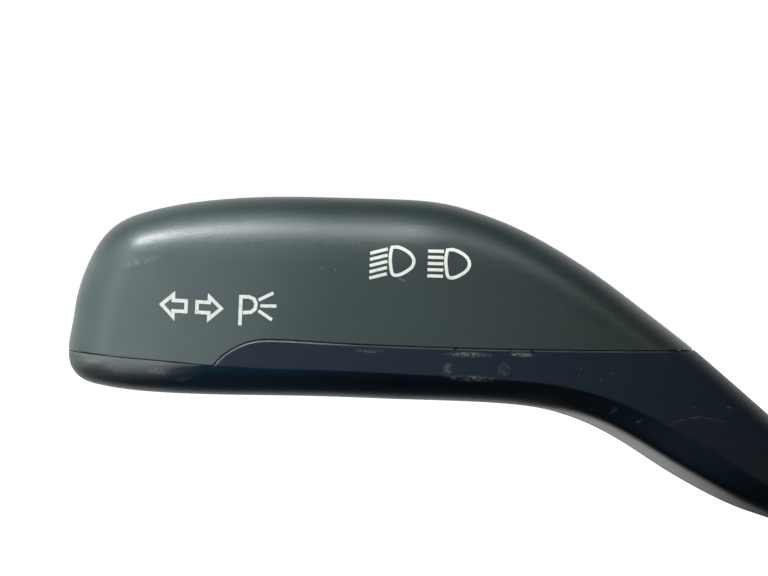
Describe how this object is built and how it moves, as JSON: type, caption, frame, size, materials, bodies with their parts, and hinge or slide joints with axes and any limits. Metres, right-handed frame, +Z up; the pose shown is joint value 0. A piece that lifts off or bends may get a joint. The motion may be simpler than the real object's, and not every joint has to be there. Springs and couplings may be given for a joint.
{
  "type": "combination stalk switch",
  "caption": "Left-hand steering-column stalk switch: a cranked lever with a flat paddle rocks for turn signals and tilts for beam on a pivoting carrier in a bored column housing.",
  "frame": {"origin": "centre of the column bore at the housing's rear face, which is the face away from the driver", "axes": "+X to the driver's right, +Y along the column away from the driver, +Z up; the lever reaches out along -X"},
  "size_m": [0.2198, 0.0335, 0.0944],
  "materials": {
    "handle_plastic": "fine satin moulding, softly polished by use",
    "housing_plastic": "matt glass-filled moulding",
    "cover_plastic": "matt moulding",
    "mechanism_plastic": "natural acetal, slightly waxy",
    "core_plastic": "glass-filled nylon",
    "board_plastic": "brown phenolic moulding",
    "steel": "ground steel",
    "screw_steel": "passivated zinc plate",
    "contact_brass": "stamped brass strip"
  },
  "bodies": {
    "housing": {"switch_housing": "housing_plastic", "housing_cover": "cover_plastic", "cover_screws": "screw_steel", "contact_board": "board_plastic", "fixed_contacts": "contact_brass", "terminals": "contact_brass", "beam_contact_leaf": "contact_brass", "detent_plug": "screw_steel", "indicator_detent_spring": "steel"},
    "carrier": {"indicator_carrier": "mechanism_plastic", "beam_pin": "steel", "pawl_spring": "steel"},
    "lever": {"lever_core": "core_plastic", "core_screws": "screw_steel", "handle_upper_shell": "handle_plastic", "handle_lower_shell": "handle_plastic", "slot_shield": "housing_plastic", "beam_detent_spring": "steel"},
    "indicator_detent": {"indicator_plunger": "mechanism_plastic"},
    "beam_detent": {"beam_plunger": "mechanism_plastic"},
    "signal_contacts": {"contact_slide": "mechanism_plastic", "contact_bridges": "contact_brass"},
    "beam_switch": {"beam_pusher": "mechanism_plastic"},
    "cancel_carriage": {"pawl_carriage": "mechanism_plastic"},
    "canceller": {"cancel_pawl": "mechanism_plastic"}
  },
  "joints": [
    {"name": "indicator_pivot", "type": "hinge", "parent": "housing", "child": "carrier", "pos_m": [-0.046, -0.0165, 0], "axis": [0, 1, 0], "range_deg": [-12, 12]},
    {"name": "beam_tilt", "type": "hinge", "parent": "carrier", "child": "lever", "pos_m": [-0.046, -0.0165, 0], "axis": [0, 0, 1], "range_deg": [-6, 6], "stiffness_Nm_per_rad": 0.6},
    {"name": "indicator_detent_slide", "type": "slide", "parent": "housing", "child": "indicator_detent", "axis": [0, 0, -1], "range_m": [0, 0.0015], "stiffness_N_per_m": 500, "deforming": ["indicator_detent_spring"]},
    {"name": "beam_detent_slide", "type": "slide", "parent": "lever", "child": "beam_detent", "axis": [-1, 0, 0], "range_m": [0, 0.0012], "stiffness_N_per_m": 500, "deforming": ["beam_detent_spring"]},
    {"name": "signal_slide", "type": "slide", "parent": "housing", "child": "signal_contacts", "axis": [0, 0, 1], "range_m": [-0.0026, 0.0026]},
    {"name": "beam_pusher_slide", "type": "slide", "parent": "carrier", "child": "beam_switch", "axis": [0, 1, 0], "range_m": [-0.00075, 0.00075]},
    {"name": "pawl_extend", "type": "slide", "parent": "carrier", "child": "cancel_carriage", "axis": [1, 0, 0], "range_m": [0, 0.0035], "stiffness_N_per_m": 200},
    {"name": "pawl_swing", "type": "hinge", "parent": "cancel_carriage", "child": "canceller", "pos_m": [-0.033, -0.0283, 0], "axis": [0, 1, 0], "range_deg": [-20, 20], "stiffness_Nm_per_rad": 0.01}
  ],
  "couplings": [
    {"joint": "signal_slide", "follows": "indicator_pivot", "m_per_rad": -0.012},
    {"joint": "beam_pusher_slide", "follows": "beam_tilt", "m_per_rad": 0.0065}
  ]
}
